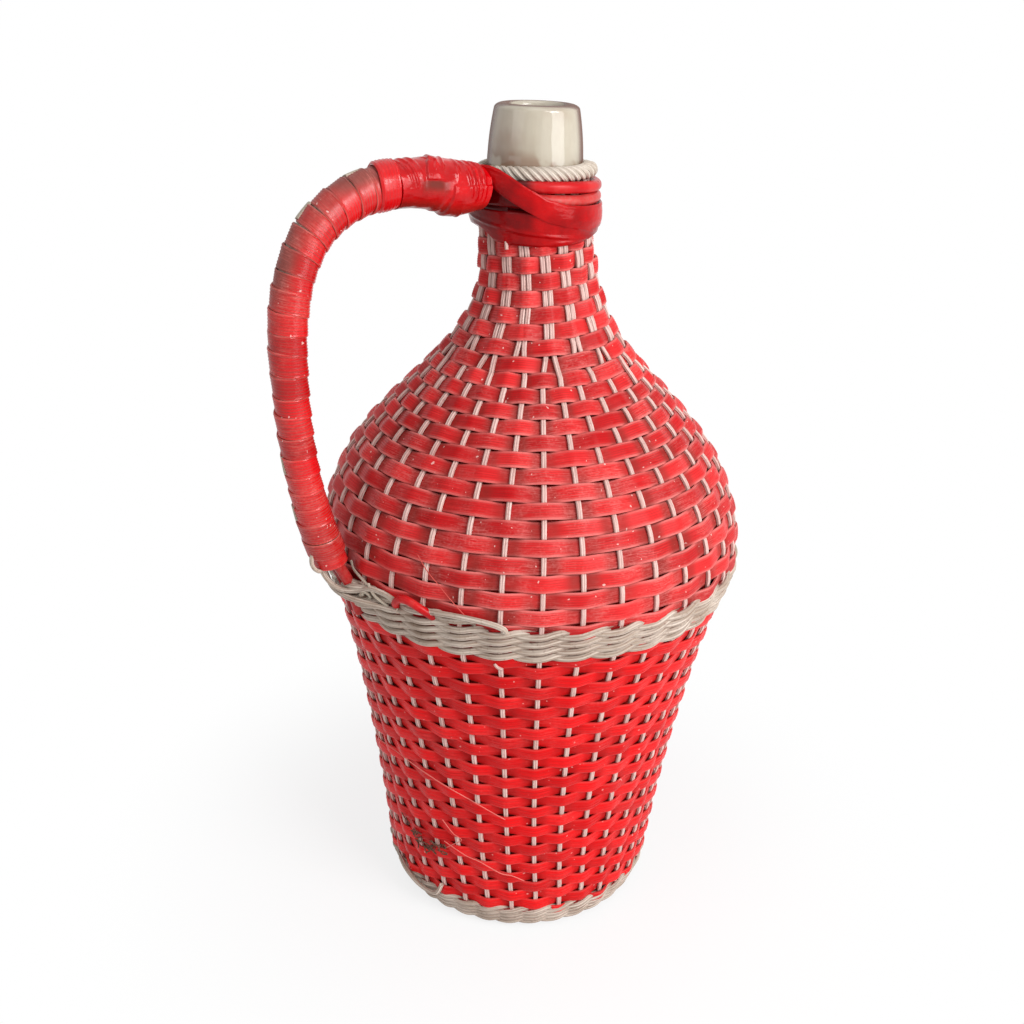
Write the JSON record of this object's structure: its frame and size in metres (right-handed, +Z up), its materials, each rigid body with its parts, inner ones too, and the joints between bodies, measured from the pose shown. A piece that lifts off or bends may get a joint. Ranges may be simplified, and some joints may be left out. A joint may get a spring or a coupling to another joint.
{
  "type": "demijohn",
  "caption": "Glass demijohn in a woven plastic-strip cover with twined cord bands, a taped neck and a bound carrying handle.",
  "frame": {"origin": "centre of the underside of the basket floor, on the bottle's axis", "axes": "+Z up along the bottle's axis; the handle is on the -X side, in the plane y = 0"},
  "size_m": [0.2334, 0.1985, 0.385],
  "materials": {
    "glass": "clear glass with a grey-green tint, glossy",
    "basket_red": "glossy red plastic strip with fine ribs",
    "dome_red": "red plastic strip with fine ribs, faded and dusty at its edges",
    "stake_white": "off-white two-ribbed plastic strip",
    "cord_white": "off-white plastic cord, dusty in the grooves",
    "rod_red": "smooth red plastic tube",
    "tape_red": "wrinkled glossy red vinyl tape",
    "winding_red": "ribbed red plastic strip, faded on the outer side",
    "core_grey": "grey-white core that shows between turns"
  },
  "bodies": {
    "root": {"glass_bottle": "glass", "basket_floor": "basket_red", "foot_cord_a": "cord_white", "foot_cord_b": "cord_white", "basket_strip_a": "basket_red", "basket_strip_b": "basket_red", "waist_cord_a": "cord_white", "waist_cord_b": "cord_white", "dome_strip_a": "dome_red", "dome_strip_b": "dome_red", "neck_border": "cord_white", "neck_cord": "rod_red", "neck_tape": "tape_red", "neck_strap": "tape_red", "handle_core": "core_grey", "handle_winding": "winding_red", "handle_tape": "tape_red", "handle_rod_front": "rod_red", "handle_rod_back": "rod_red", "rod_lashing_1": "cord_white", "rod_lashing_2": "cord_white", "stake_01": "stake_white", "stake_02": "stake_white", "stake_03": "stake_white", "stake_04": "stake_white", "stake_05": "stake_white", "stake_06": "stake_white", "stake_07": "stake_white", "stake_08": "stake_white", "stake_09": "stake_white", "stake_10": "stake_white", "stake_11": "stake_white", "stake_12": "stake_white", "stake_13": "stake_white", "stake_14": "stake_white", "stake_15": "stake_white", "stake_16": "stake_white", "stake_17": "stake_white", "stake_18": "stake_white", "stake_19": "stake_white", "stake_20": "stake_white", "stake_21": "stake_white", "stake_22": "stake_white", "stake_23": "stake_white", "stake_24": "stake_white", "stake_25": "stake_white", "stake_26": "stake_white", "stake_27": "stake_white", "stake_28": "stake_white", "stake_29": "stake_white", "stake_30": "stake_white", "stake_31": "stake_white", "stake_32": "stake_white", "stake_33": "stake_white", "stake_34": "stake_white", "stake_35": "stake_white", "stake_36": "stake_white"}
  },
  "joints": []
}
